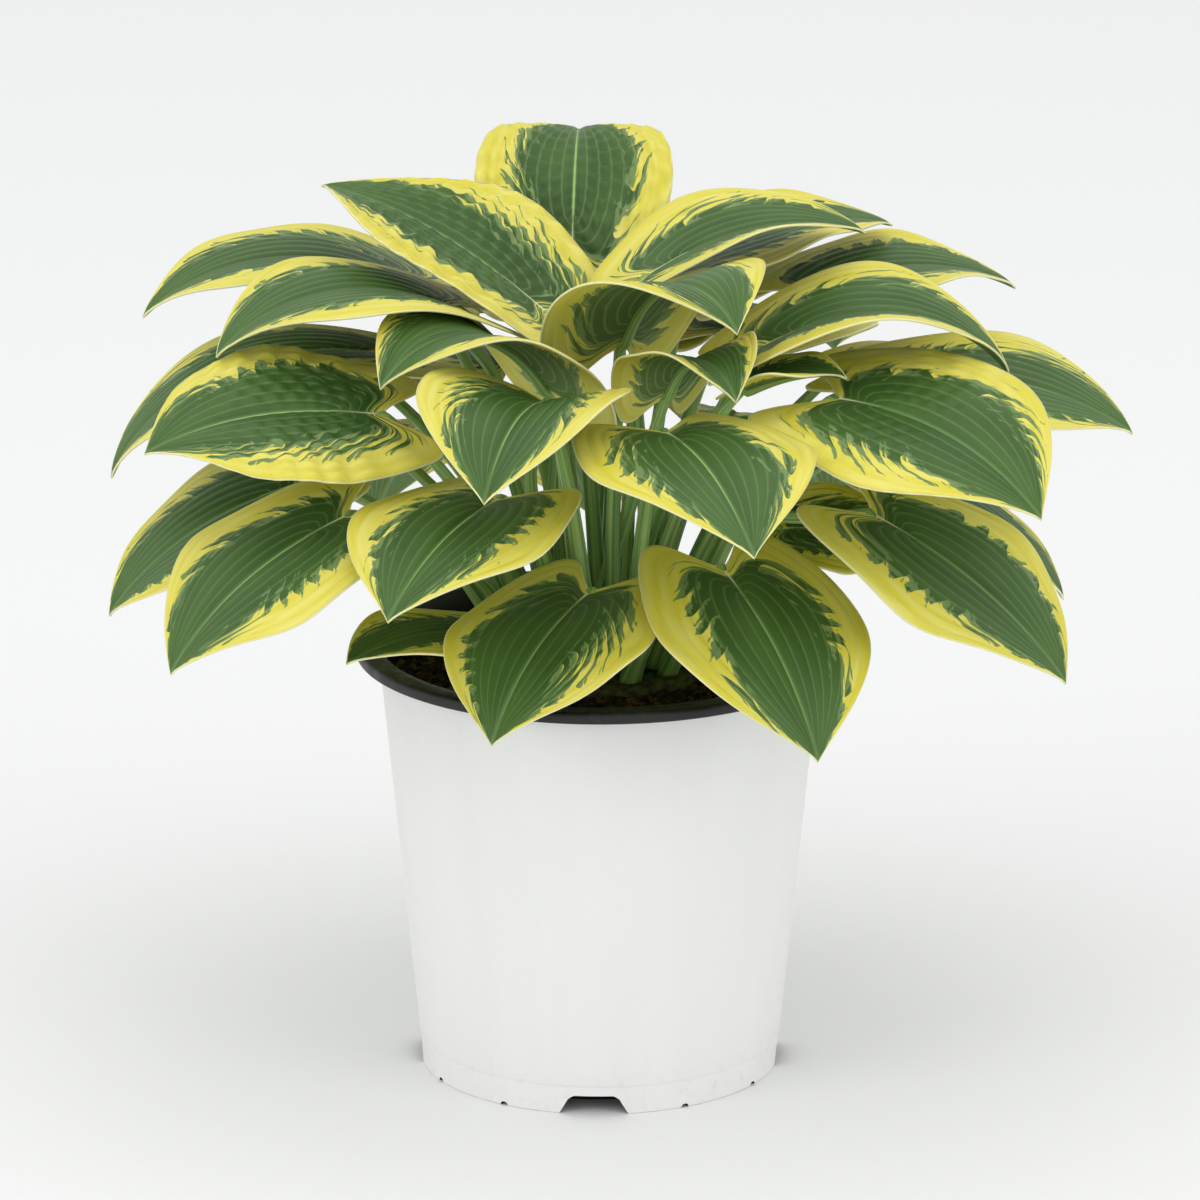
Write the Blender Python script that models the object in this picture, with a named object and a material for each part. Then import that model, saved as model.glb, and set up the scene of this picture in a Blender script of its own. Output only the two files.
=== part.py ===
"""A variegated hosta in a one-gallon nursery pot.

The pot stands on z = 0 with its axis on the Z axis, and the plant's front faces -Y. Every leaf is one
solid, its stalk and its blade together, as it grew. Sizes in the constants and tables are millimetres and
degrees; meshes are in metres.
"""

import math
from collections import namedtuple

import bmesh
import bpy
import numpy as np
from mathutils import kdtree

MM = 0.001
GAP = 0.3  # left between neighbouring solids

# Pot: a thin moulded shell, turned round its axis.
POT_HEIGHT = 171.0
POT_RIM_RADIUS = 95.0
POT_TOP_RADIUS = 86.5  # outside of the wall, just under the rim
POT_BASE_RADIUS = 70.2
POT_WALL = 1.4
POT_SIDES = 40
RIM_DROP = 4.5  # the rolled rim's outer skirt
FOOT_STEP_HEIGHT = 11.8
FOOT_STEP = 0.6
BASE_PANEL_RADIUS = 54.0  # the flat middle of the base, which also stands on the ground
FLOOR_HEIGHT = 9.0  # underside of the raised drainage channel round the base panel
NOTCH_HEIGHT = 7.5
NOTCH_TOP_WIDTH = 18.0
NOTCH_BOTTOM_WIDTH = 28.0
NOTCH_COUNT = 4
NOTCH_TURN = -92.0  # direction of the first notch
SMALL_NOTCH_WIDTH = 4.0
SMALL_NOTCH_HEIGHT = 1.5
SMALL_NOTCH_OFFSET = 30.0  # either side of each notch
DRAIN_RADIUS = 3.5
DRAIN_RING_RADIUS = 62.0
DRAIN_COUNT = 8

# Soil and crown
SOIL_LEVEL = 160.0
CROWN_RADIUS = 42.0
CROWN_DEPTH = 14.0  # how far the clump reaches into the soil
CROWN_TOP = 164.0
CROWN_SIDES = 24

# Leaves
BLADE_THICKNESS = 0.8
BLADE_ROWS = 6
BLADE_COLUMNS = 2  # each side of the midrib
LOBE_DEPTH = 0.26  # how far the lobes reach back past the stalk, as a share of the blade's length
LOBE_PLACE = 0.07
VEIN_START = 0.22  # the innermost side veins leave the midrib at this share of the blade's length
BEND_POWER = 1.3
STALK_BASE_RADIUS = 3.3
STALK_END_RADIUS = 2.1
RIB_END_RADIUS = 0.9
RIB_LENGTH = 0.3  # the stalk runs on under the blade for this share of its length
STALK_SIDES = 5
STALK_SAMPLES = 25
STALK_SEGMENTS = 7
RIB_SEGMENTS = 2
SPREAD_ROUNDS = 120
SPREAD_ROOM = 1.0  # clearance kept between a stalk and its neighbours

Leaf = namedtuple("Leaf", "joint heading length width pitch bend sway roll fold cup")

# joint: where the stalk meets the blade (x, y, z). heading: the blade's direction seen from above, from +X
# anticlockwise, so -90 is the front. pitch: its slope at the joint; bend: how far it turns down by its tip.
# sway: how far it turns to the left by its tip. roll: how far its left side is raised. fold and cup: how far
# its halves rise from the midrib, and how much more they rise by the margin.
LEAVES = {
    "low": (
        Leaf((-3, -67, 211), -122, 88, 82, -10, 42, 5, 0, 8, -20),
        Leaf((46, -63, 219), -64, 98, 86, -15, 48, 5, 0, 8, -20),
        Leaf((-44, -46, 190), -146, 64, 60, 8, 25, 0, 0, 8, -15),
        Leaf((-94, -72, 243), -150, 96, 86, -15, 42, 0, -8, 8, -20),
        Leaf((-110, -12, 239), -172, 98, 86, -14, 43, 0, -10, 8, -20),
        Leaf((102, -60, 240), -27, 102, 86, -20, 32, 0, 9, 8, -20),
        Leaf((110, 5, 236), -5, 88, 78, -15, 45, 0, 0, 8, -20),
        Leaf((68, -22, 222), -5, 60, 50, 5, 30, 0, 25, 8, -15),
        Leaf((92, 42, 232), 22, 100, 84, -15, 45, 0, 0, 8, -20),
        Leaf((52, 86, 237), 60, 104, 90, -16, 48, 0, 0, 8, -20),
        Leaf((2, 94, 223), 93, 100, 92, -15, 45, 0, 0, 8, -20),
        Leaf((-46, 86, 236), 124, 104, 90, -16, 48, 0, 0, 8, -20),
        Leaf((-88, 50, 236), 156, 100, 84, -15, 45, 0, 0, 8, -20),
    ),
    "middle": (
        Leaf((24, -75, 276), -72, 102, 90, 8, 48, 5, 0, 10, -20),
        Leaf((-37, -78, 251), -120, 90, 84, 0, 40, 0, 0, 10, -20),
        Leaf((-82, -49, 275), -164, 96, 94, 12, 38, 0, -18, 10, -25),
        Leaf((88, -53, 283), -40, 108, 96, 5, 48, 0, 15, 10, -20),
        Leaf((112, -2, 278), -6, 98, 90, 5, 40, 0, 8, 8, -20),
        Leaf((-80, 22, 279), -171, 130, 86, 12, 78, 0, 0, 8, -20),
        Leaf((-95, 65, 262), 162, 82, 75, 5, 40, 0, 0, 8, -20),
        Leaf((-20, -62, 284), -106, 90, 82, 16, 62, 0, 0, 15, 0),
        Leaf((92, 52, 264), 8, 72, 62, 12, 35, 0, 0, 8, -20),
        Leaf((48, 84, 270), 62, 108, 88, 5, 50, 0, 0, 8, -20),
        Leaf((8, 98, 266), 90, 108, 88, 5, 50, 0, 0, 8, -20),
        Leaf((-34, 92, 254), 118, 90, 76, 5, 50, 0, 0, 8, -20),
    ),
    "upper": (
        Leaf((-54, 5, 302), -162, 106, 88, 26, 74, 0, 0, 10, -15),
        Leaf((-72, 70, 295), -170, 116, 88, 25, 68, 0, 0, 10, -15),
        Leaf((-19, 12, 297), 148, 114, 92, 33, 30, 0, 0, 10, 0),
        Leaf((-11, 70, 303), 88, 95, 80, 55, 75, 0, 0, 8, 10),
        Leaf((17, 18, 311), 10, 92, 78, 32, 52, 0, 0, 12, 0),
        Leaf((25, 62, 302), 18, 98, 88, 25, 42, 0, 0, 8, -10),
        Leaf((78, 52, 296), 16, 92, 82, 18, 48, 0, 0, 10, -10),
        Leaf((60, -25, 294), 4, 108, 88, 30, 84, 0, 0, 15, -10),
        Leaf((8, -14, 292), -57, 98, 86, 62, 105, 0, 0, 12, -10),
        Leaf((-19, -20, 275), -142, 98, 82, 58, 108, 0, 0, 12, -10),
        Leaf((-66, 100, 278), 158, 84, 68, 28, 72, 0, 0, 10, -10),
        Leaf((34, 84, 286), 58, 105, 84, 15, 55, 0, 0, 10, -10),
        Leaf((-20, 92, 282), 96, 105, 84, 12, 55, 0, 0, 10, -10),
    ),
    "young": (
        Leaf((25, -32, 277), -64, 72, 52, 58, 105, 0, 0, 15, 0),
        Leaf((54, -47, 285), -12, 42, 40, 25, 35, 0, 0, 15, 0),
    ),
}
# How far out on the crown each tier's stalks stand.
ROOT_RADII = {"low": 35.0, "middle": 26.0, "upper": 16.0, "young": 8.0}


def unit(vectors):
    return vectors / np.linalg.norm(vectors, axis=-1, keepdims=True)


def blade_frames(leaf, along):
    """The midrib's points and its forward, left and up directions, at these distances from the joint."""
    share = np.linspace(0, 1, 33)
    turned = share**BEND_POWER
    pitch = np.radians(leaf.pitch - leaf.bend * turned)
    heading = np.radians(leaf.heading + leaf.sway * turned)
    ahead = np.stack([np.cos(pitch) * np.cos(heading), np.cos(pitch) * np.sin(heading), np.sin(pitch)], -1)
    steps = (ahead[1:] + ahead[:-1]) / 2 * (leaf.length / 32)
    places = np.vstack([np.zeros(3), np.cumsum(steps, axis=0)]) + leaf.joint
    inside = np.clip(along / leaf.length, 0, 1)
    place = np.stack([np.interp(inside, share, places[:, axis]) for axis in range(3)], -1)
    pitch = np.interp(inside, share, pitch)
    heading = np.interp(inside, share, heading)
    ahead = np.stack([np.cos(pitch) * np.cos(heading), np.cos(pitch) * np.sin(heading), np.sin(pitch)], -1)
    place = place + ahead * np.minimum(along, 0)[..., None]
    level = np.stack([-np.sin(heading), np.cos(heading), np.zeros_like(heading)], -1)
    upright = np.cross(ahead, level)
    roll = math.radians(leaf.roll)
    left = level * math.cos(roll) + upright * math.sin(roll)
    up = upright * math.cos(roll) - level * math.sin(roll)
    return place, ahead, left, up


def blade_places(leaf, toward_tip, across):
    """Points of the blade. toward_tip runs 0 to 1 along each vein; across runs -1 to 1, margin to margin."""
    side = np.abs(across)
    wide = np.sin(math.pi * toward_tip**0.72) ** (0.75 + 0.32 * toward_tip**4)
    wide = np.where(toward_tip >= 1, 0.0, wide) * side
    near_lobe = toward_tip / LOBE_PLACE
    along = (
        toward_tip
        + VEIN_START * (1 - side) ** 1.5 * (1 - toward_tip) ** 4
        - LOBE_DEPTH * side**1.6 * near_lobe * np.exp(1 - near_lobe)
    )
    fold = math.radians(leaf.fold)
    cup = math.radians(leaf.cup if leaf.cup else 0.01)
    out = (np.sin(fold + cup * wide) - math.sin(fold)) / cup * leaf.width / 2
    rise = (math.cos(fold) - np.cos(fold + cup * wide)) / cup * leaf.width / 2
    place, _, left, up = blade_frames(leaf, along * leaf.length)
    return place + left * (out * np.sign(across))[..., None] + up * rise[..., None]


def blade_grid(leaf, rows, columns):
    """Points and faces of a blade's middle surface. The side veins share their first points, on the midrib."""
    toward_tip = np.linspace(0, 1, rows + 1) ** 1.6
    across = np.linspace(-1, 1, 2 * columns + 1)
    grid = blade_places(leaf, toward_tip[:, None], across[None, :])
    index = np.arange(grid.shape[0] * grid.shape[1]).reshape(grid.shape[:2])
    index[0, :columns] = index[0, : columns : -1]
    index[-1, :] = index[-1, columns]
    faces = []
    for row in range(rows):
        for column in range(2 * columns):
            ring = (
                index[row, column],
                index[row + 1, column],
                index[row + 1, column + 1],
                index[row, column + 1],
            )
            corners = [int(corner) for place, corner in enumerate(ring) if corner != ring[place - 1]]
            faces.append(corners)
    used = np.unique(np.concatenate([np.array(face) for face in faces]))
    renumber = {int(old): new for new, old in enumerate(used)}
    points = grid.reshape(-1, 3)[used]
    return points, [[renumber[corner] for corner in face] for face in faces]


def stalk_roots(leaves, radius):
    """Where a tier's stalks stand: evenly round a ring of the crown, in the order of their leaves."""
    turns = np.array([math.atan2(leaf.joint[1], leaf.joint[0]) for leaf in leaves])
    order = turns.argsort()
    even = np.arange(len(leaves)) * 2 * math.pi / len(leaves)
    shift = np.angle(np.exp(1j * (turns[order] - even)).sum())
    turns[order] = even + shift
    height = np.full(len(leaves), CROWN_TOP + GAP)
    return np.stack([radius * np.cos(turns), radius * np.sin(turns), height], -1)


def stalk_route(leaf, root):
    """A stalk's points before its neighbours are minded, from the crown to the blade's joint."""
    joint = np.array(leaf.joint, float)
    outward = unit(joint * [1, 1, 0])
    _, ahead, _, _ = blade_frames(leaf, np.zeros(1))
    reach = np.linalg.norm(joint - root)
    rising = unit(0.25 * outward + [0, 0, 1])
    leave = root + rising * 0.5 * reach
    arrive = joint - unit(ahead[0] + 0.7 * rising) * 0.2 * reach
    share = np.linspace(0, 1, STALK_SAMPLES)[:, None]
    route = root * (1 - share) ** 3 + 3 * leave * share * (1 - share) ** 2
    return route + 3 * arrive * share**2 * (1 - share) + joint * share**3


def blade_samples(leaves):
    """Points spread over every blade, each with its leaf's number, its upward normal and its way to the margin."""
    toward_tip = np.linspace(0.01, 0.97, 17)[:, None]
    across = np.linspace(-0.98, 0.98, 15)[None, :]
    step = 0.01
    places = []
    normals = []
    outward = []
    for leaf in leaves:
        here = blade_places(leaf, toward_tip, across)
        ahead = blade_places(leaf, toward_tip + step, across) - here
        left = blade_places(leaf, toward_tip, across + step) - here
        side = np.where(across < 0, -1.0, 1.0)[..., None]
        places.append(here.reshape(-1, 3))
        normals.append(unit(np.cross(ahead, left)).reshape(-1, 3))
        outward.append(unit(left * side - 0.5 * ahead).reshape(-1, 3))
    owner = np.repeat(np.arange(len(leaves)), places[0].shape[0])
    return np.concatenate(places), owner, np.concatenate(normals), np.concatenate(outward)


def push_from_stalks(routes, radii):
    """How far each point of each stalk must move to clear the other stalks."""
    count, samples, _ = routes.shape
    points = routes.reshape(-1, 3)
    owner = np.repeat(np.arange(count), samples)
    radius = np.tile(radii, count)
    apart = points[:, None] - points[None]
    distance = np.linalg.norm(apart, axis=-1) + 1e-6
    room = radius[:, None] + radius[None] + SPREAD_ROOM
    short = np.where(owner[:, None] != owner[None], np.maximum(room - distance, 0), 0)
    nearest = short.argmax(axis=1)
    pick = np.arange(len(points))
    push = apart[pick, nearest] / distance[pick, nearest, None] * short[pick, nearest, None] / 2
    return push.reshape(routes.shape)


def push_from_blades(routes, radii, tree, samples):
    """How far each point of each stalk must move to clear the other leaves' blades."""
    places, owner, normals, outward = samples
    push = np.zeros_like(routes)
    for stalk, route in enumerate(routes):
        near = []
        for index, point in enumerate(route):
            reach = radii[index] + SPREAD_ROOM + BLADE_THICKNESS + 3
            for _, sample, _ in tree.find_range(tuple(point), reach):
                if owner[sample] != stalk:
                    near.append((index, sample))
        for blade in {owner[sample] for _, sample in near}:
            pairs = [(index, sample) for index, sample in near if owner[sample] == blade]
            above = [float(normals[sample] @ (route[index] - places[sample])) for index, sample in pairs]
            crossing = min(above) < 0 < max(above)
            for (index, sample), height in zip(pairs, above):
                room = radii[index] + SPREAD_ROOM + BLADE_THICKNESS / 2 - abs(height)
                if crossing:
                    push[stalk, index] = outward[sample] * 1.2
                elif room > 0:
                    push[stalk, index] = normals[sample] * math.copysign(room, height)
    return push


def spread_stalks(leaves, roots):
    """The stalks' routes, moved apart until they pass one another and the blades."""
    routes = np.array([stalk_route(leaf, root) for leaf, root in zip(leaves, roots)])
    radii = np.linspace(STALK_BASE_RADIUS, STALK_END_RADIUS, STALK_SAMPLES)
    samples = blade_samples(leaves)
    tree = kdtree.KDTree(len(samples[0]))
    for index, place in enumerate(samples[0]):
        tree.insert(place, index)
    tree.balance()
    for _ in range(SPREAD_ROUNDS):
        push = push_from_stalks(routes, radii) + push_from_blades(routes, radii, tree, samples)
        push[:, -2:] = 0
        push[:, 0, 2] = 0
        for _ in range(4):
            push[:, 1:-1] = (push[:, :-2] + 2 * push[:, 1:-1] + push[:, 2:]) / 4
        routes += 1.5 * push
        routes[:, 1:-1] += 0.08 * (routes[:, :-2] - 2 * routes[:, 1:-1] + routes[:, 2:])
        off_crown = np.linalg.norm(routes[:, 0, :2], axis=1) / (CROWN_RADIUS - STALK_BASE_RADIUS)
        routes[:, 0, :2] /= np.maximum(off_crown, 1)[:, None]
    return routes


def make_material(name, color, roughness, metallic=0.0):
    material = bpy.data.materials.new(name)
    material.use_nodes = True
    shader = material.node_tree.nodes["Principled BSDF"]
    shader.inputs["Base Color"].default_value = (*color, 1)
    shader.inputs["Roughness"].default_value = roughness
    shader.inputs["Metallic"].default_value = metallic
    material.diffuse_color = (*color, 1)
    return material


def add_object(name, points, faces, material=None):
    """A mesh object from points in millimetres."""
    mesh = bpy.data.meshes.new(name)
    mesh.from_pydata([tuple(float(value) * MM for value in point) for point in points], [], faces)
    mesh.validate()
    placed = bpy.data.objects.new(name, mesh)
    bpy.context.scene.collection.objects.link(placed)
    if material:
        mesh.materials.append(material)
    return placed


def hide_helper(helper):
    helper.hide_render = True
    helper.display_type = "WIRE"


def combine(target, other, operation):
    """A Boolean modifier that joins the other object to the target, or cuts it away."""
    hide_helper(other)
    modifier = target.modifiers.new(operation.title() + " " + other.name, "BOOLEAN")
    modifier.operation = operation
    modifier.solver = "EXACT"
    modifier.object = other


def turned_shape(name, profile, material=None, sides=POT_SIDES):
    """A solid turned round the Z axis from a closed profile of (radius, height), listed anticlockwise."""
    points = []
    first = []
    for radius, height in profile:
        first.append(len(points))
        for side in range(sides if radius else 1):
            turn = 2 * math.pi * side / sides
            points.append((radius * math.cos(turn), radius * math.sin(turn), height))
    faces = []
    for place, start in enumerate(first):
        after = (place + 1) % len(profile)
        here_round, after_round = profile[place][0] > 0, profile[after][0] > 0
        if not (here_round or after_round):
            continue
        for side in range(sides):
            following = (side + 1) % sides
            ring = [start + side, start + following] if here_round else [start]
            next_ring = [first[after] + following, first[after] + side] if after_round else [first[after]]
            faces.append(ring + next_ring)
    return add_object(name, points, faces, material)


def wall_radius(height):
    """The outside of the pot's wall."""
    share = (height - FOOT_STEP_HEIGHT) / (POT_HEIGHT - FOOT_STEP_HEIGHT)
    return POT_BASE_RADIUS + FOOT_STEP + (POT_TOP_RADIUS - POT_BASE_RADIUS - FOOT_STEP) * share


def pot_profile():
    """The shell's cross-section: along the base, up the outside, over the rolled rim and down the inside."""
    rim_bottom = POT_HEIGHT - RIM_DROP
    foot_top = POT_BASE_RADIUS + 0.1 * FOOT_STEP
    return [
        (0, 0),
        (BASE_PANEL_RADIUS, 0),
        (BASE_PANEL_RADIUS + 1.5, FLOOR_HEIGHT),
        (POT_BASE_RADIUS - 2.0, FLOOR_HEIGHT),
        (POT_BASE_RADIUS - 2.0, 0),
        (POT_BASE_RADIUS, 0),
        (foot_top, FOOT_STEP_HEIGHT - FOOT_STEP),
        (wall_radius(FOOT_STEP_HEIGHT), FOOT_STEP_HEIGHT),
        (wall_radius(rim_bottom), rim_bottom),
        (wall_radius(rim_bottom + 3), rim_bottom + 3),
        (POT_RIM_RADIUS - POT_WALL, POT_HEIGHT - POT_WALL - 0.4),
        (POT_RIM_RADIUS - POT_WALL, rim_bottom),
        (POT_RIM_RADIUS, rim_bottom),
        (POT_RIM_RADIUS, POT_HEIGHT - 1.2),
        (POT_RIM_RADIUS - 1.2, POT_HEIGHT),
        (wall_radius(POT_HEIGHT) - POT_WALL, POT_HEIGHT - 0.2),
        (wall_radius(FLOOR_HEIGHT) - POT_WALL - 1.0, FLOOR_HEIGHT + POT_WALL + 3),
        (wall_radius(FLOOR_HEIGHT) - POT_WALL - 4.0, FLOOR_HEIGHT + POT_WALL),
        (BASE_PANEL_RADIUS, FLOOR_HEIGHT + POT_WALL),
        (BASE_PANEL_RADIUS - 1.5, POT_WALL),
        (0, POT_WALL),
    ]


def add_notch_cutter(name, turn, top_width, bottom_width, height):
    """A wedge that cuts an arch through the foot in the direction turn, in degrees."""
    outer = POT_BASE_RADIUS + 8
    inner = POT_BASE_RADIUS - 8
    outline = [(-bottom_width / 2, -1), (bottom_width / 2, -1), (top_width / 2, height), (-top_width / 2, height)]
    points = [(distance, across, up) for distance in (inner, outer) for across, up in outline]
    faces = [(3, 2, 1, 0), (4, 5, 6, 7), (0, 1, 5, 4), (1, 2, 6, 5), (2, 3, 7, 6), (3, 0, 4, 7)]
    cutter = add_object(name, points, faces)
    cutter.rotation_euler.z = math.radians(turn)
    return cutter


def add_drain_cutter(turn):
    cutter = turned_shape(
        f"drain_cutter_{turn:.0f}",
        [(0, FLOOR_HEIGHT - 2), (DRAIN_RADIUS, FLOOR_HEIGHT - 2), (DRAIN_RADIUS, 12), (0, 12)],
        sides=12,
    )
    cutter.location.x = DRAIN_RING_RADIUS * math.cos(math.radians(turn)) * MM
    cutter.location.y = DRAIN_RING_RADIUS * math.sin(math.radians(turn)) * MM
    return cutter


def add_pot():
    white_plastic = make_material("white_plastic", (0.79, 0.79, 0.78), 0.45)
    pot = turned_shape("pot", pot_profile(), white_plastic)
    for index in range(NOTCH_COUNT):
        turn = NOTCH_TURN + 360 * index / NOTCH_COUNT
        cutter = add_notch_cutter(f"notch_{index}", turn, NOTCH_TOP_WIDTH, NOTCH_BOTTOM_WIDTH, NOTCH_HEIGHT)
        combine(pot, cutter, "DIFFERENCE")
        for side in (-1, 1):
            small = add_notch_cutter(
                f"small_notch_{index}_{side}",
                turn + side * SMALL_NOTCH_OFFSET,
                SMALL_NOTCH_WIDTH / 2,
                SMALL_NOTCH_WIDTH,
                SMALL_NOTCH_HEIGHT,
            )
            combine(pot, small, "DIFFERENCE")
    for index in range(DRAIN_COUNT):
        combine(pot, add_drain_cutter(360 * index / DRAIN_COUNT + 20), "DIFFERENCE")


def add_soil():
    """The potting mix fills the pot up to the soil level and leaves room for the crown."""
    soil_material = make_material("soil", (0.03, 0.022, 0.016), 0.95)
    low = FLOOR_HEIGHT + POT_WALL + 3 + GAP
    inner = POT_WALL + 1.0 + GAP
    profile = [
        (0, POT_WALL + GAP),
        (BASE_PANEL_RADIUS - 3, POT_WALL + GAP),
        (BASE_PANEL_RADIUS - 3, low),
        (wall_radius(FLOOR_HEIGHT) - POT_WALL - 1.0 - GAP - 0.5, low),
        (wall_radius(SOIL_LEVEL) - inner - 0.5, SOIL_LEVEL - 1.5),
        (CROWN_RADIUS + 6, SOIL_LEVEL),
        (CROWN_RADIUS + GAP, SOIL_LEVEL + 0.5),
        (CROWN_RADIUS - 4 + GAP, SOIL_LEVEL - CROWN_DEPTH),
        (0, SOIL_LEVEL - CROWN_DEPTH),
    ]
    turned_shape("soil", profile, soil_material)


def add_crown():
    """The clump of short underground stems that every stalk grows from."""
    crown_material = make_material("crown", (0.33, 0.3, 0.17), 0.7)
    profile = [
        (0, SOIL_LEVEL - CROWN_DEPTH + GAP),
        (CROWN_RADIUS - 4 - GAP, SOIL_LEVEL - CROWN_DEPTH + GAP),
        (CROWN_RADIUS - GAP, SOIL_LEVEL + 0.5),
        (CROWN_RADIUS - 1.5, CROWN_TOP),
        (0, CROWN_TOP),
    ]
    turned_shape("crown", profile, crown_material, sides=CROWN_SIDES)


def stalk_spine(leaf, route):
    """Points and radii of the stalk from the crown to the joint, and on under the blade as its rib."""
    share = np.linspace(0, 1, STALK_SEGMENTS + 1)
    samples = np.linspace(0, 1, STALK_SAMPLES)
    risen = np.stack([np.interp(share, samples, route[:, axis]) for axis in range(3)], -1)
    along = np.linspace(0, RIB_LENGTH * leaf.length, RIB_SEGMENTS + 1)[1:]
    place, _, _, up = blade_frames(leaf, along)
    radii = np.linspace(STALK_END_RADIUS, RIB_END_RADIUS, RIB_SEGMENTS + 1)[1:]
    rib = place - up * radii[:, None] * 0.6
    return np.vstack([risen, rib]), np.concatenate(
        [np.linspace(STALK_BASE_RADIUS, STALK_END_RADIUS, STALK_SEGMENTS + 1), radii]
    )


def tube_mesh(spine, radii, sides):
    """Points and faces of a closed round bar along a spine."""
    ahead = unit(np.gradient(spine, axis=0))
    ahead[0] = (0, 0, 1)
    side = unit(np.cross(ahead, np.array([0.3, 1.0, 0.05])))
    upright = np.cross(side, ahead)
    points = []
    for place, across, up, radius in zip(spine, side, upright, radii):
        for corner in range(sides):
            turn = 2 * math.pi * corner / sides
            points.append(place + radius * (across * math.cos(turn) + up * math.sin(turn)))
    faces = [list(range(sides))]
    for ring in range(len(spine) - 1):
        for corner in range(sides):
            following = (corner + 1) % sides
            low = ring * sides
            faces.append([low + following, low + corner, low + sides + corner, low + sides + following])
    faces.append([(len(spine) - 1) * sides + corner for corner in reversed(range(sides))])
    return points, faces


def face_outward(placed):
    shape = bmesh.new()
    shape.from_mesh(placed.data)
    bmesh.ops.recalc_face_normals(shape, faces=shape.faces)
    shape.to_mesh(placed.data)
    shape.free()


def add_leaf(name, leaf, route, materials):
    """One leaf: the blade, thickened, with its stalk and rib joined on."""
    blade = add_object(name, *blade_grid(leaf, BLADE_ROWS, BLADE_COLUMNS), materials["leaf"])
    thicken = blade.modifiers.new("Thickness", "SOLIDIFY")
    thicken.thickness = BLADE_THICKNESS * MM
    thicken.offset = 0
    stalk = add_object("stalk_of_" + name, *tube_mesh(*stalk_spine(leaf, route), STALK_SIDES), materials["leaf"])
    face_outward(stalk)
    combine(blade, stalk, "UNION")
    blade.data.shade_smooth()


def clear_scene():
    for existing in list(bpy.data.objects):
        bpy.data.objects.remove(existing, do_unlink=True)


def main():
    clear_scene()
    add_pot()
    add_soil()
    add_crown()
    materials = {"leaf": make_material("leaf", (0.07, 0.16, 0.06), 0.5)}
    names = [f"leaf_{tier}_{place + 1:02d}" for tier, leaves in LEAVES.items() for place in range(len(leaves))]
    leaves = [leaf for tier in LEAVES.values() for leaf in tier]
    roots = np.vstack([stalk_roots(LEAVES[tier], ROOT_RADII[tier]) for tier in LEAVES])
    routes = spread_stalks(leaves, roots)
    for name, leaf, route in zip(names, leaves, routes):
        add_leaf(name, leaf, route, materials)


if __name__ == "__main__":
    main()
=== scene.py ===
"""A variegated hosta in a one-gallon nursery pot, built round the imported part."""

import math
from collections import namedtuple

import bmesh
import bpy
import numpy as np
from bpy.props import FloatProperty, FloatVectorProperty, IntProperty, PointerProperty
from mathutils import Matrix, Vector, kdtree, noise


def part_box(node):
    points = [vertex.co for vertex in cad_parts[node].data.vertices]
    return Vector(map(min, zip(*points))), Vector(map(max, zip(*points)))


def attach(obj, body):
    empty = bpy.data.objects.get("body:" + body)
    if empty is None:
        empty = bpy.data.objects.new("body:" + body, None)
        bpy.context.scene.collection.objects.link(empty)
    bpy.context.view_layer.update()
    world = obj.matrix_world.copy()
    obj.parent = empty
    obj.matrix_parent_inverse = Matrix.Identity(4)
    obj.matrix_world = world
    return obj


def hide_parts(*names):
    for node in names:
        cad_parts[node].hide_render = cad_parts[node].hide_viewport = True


bl_info = {
    "name": "Potted hosta",
    "version": (1, 0, 0),
    "blender": (4, 5, 0),
    "location": "3D View > Sidebar > Hosta",
    "description": "Builds a variegated hosta in a nursery pot, with its stage",
    "category": "Add Mesh",
}

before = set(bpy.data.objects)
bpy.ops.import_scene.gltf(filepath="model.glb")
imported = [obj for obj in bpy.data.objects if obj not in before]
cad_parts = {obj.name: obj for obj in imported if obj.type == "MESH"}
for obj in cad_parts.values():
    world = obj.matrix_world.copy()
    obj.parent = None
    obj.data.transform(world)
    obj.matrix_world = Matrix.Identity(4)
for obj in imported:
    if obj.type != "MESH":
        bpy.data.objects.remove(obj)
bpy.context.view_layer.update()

MM = 0.001
GAP = 0.3
POT_LOW, POT_HIGH = (np.array(corner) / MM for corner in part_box("pot"))
POT_HEIGHT = POT_HIGH[2] - POT_LOW[2]
POT_RIM_RADIUS = (POT_HIGH[0] - POT_LOW[0]) / 2
CROWN_LOW, CROWN_HIGH = (np.array(corner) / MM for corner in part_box("crown"))
CROWN_TOP = CROWN_HIGH[2]
CROWN_RADIUS = (CROWN_HIGH[0] - CROWN_LOW[0]) / 2

# The pot's section, as radii and heights in millimetres from its axis and its foot.
POT_TOP_RADIUS = 86.5
POT_BASE_RADIUS = 70.2
POT_WALL = 1.4
RIM_DROP = 4.5
FOOT_STEP_HEIGHT = 11.8
FOOT_STEP = 0.6
BASE_PANEL_RADIUS = 54.0
FLOOR_HEIGHT = 9.0
NOTCH_TURN = -92.0
NOTCH_FLARE = 10.0  # how much wider a large notch is at the floor
SMALL_NOTCH_TURNS = (-30, 30)  # degrees from each large notch
SMALL_NOTCH = (2, 4, 1.5)  # top width, bottom width and height
DRAIN_RADIUS = 3.5
DRAIN_RING = 62.0
DRAIN_COUNT = 8
DRAIN_TURN = 20
POT_SIDES = 160
SOIL_LEVEL = 160.0
SOIL_BOTTOM = 15.0
SOIL_SIDES = 220
SOIL_DROP = 0.8  # how far the soil's mean level lies under the solid's top
CROWN_SIDES = 120
CROWN_SHOULDER = 8.0  # height of the crown's straight foot

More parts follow.
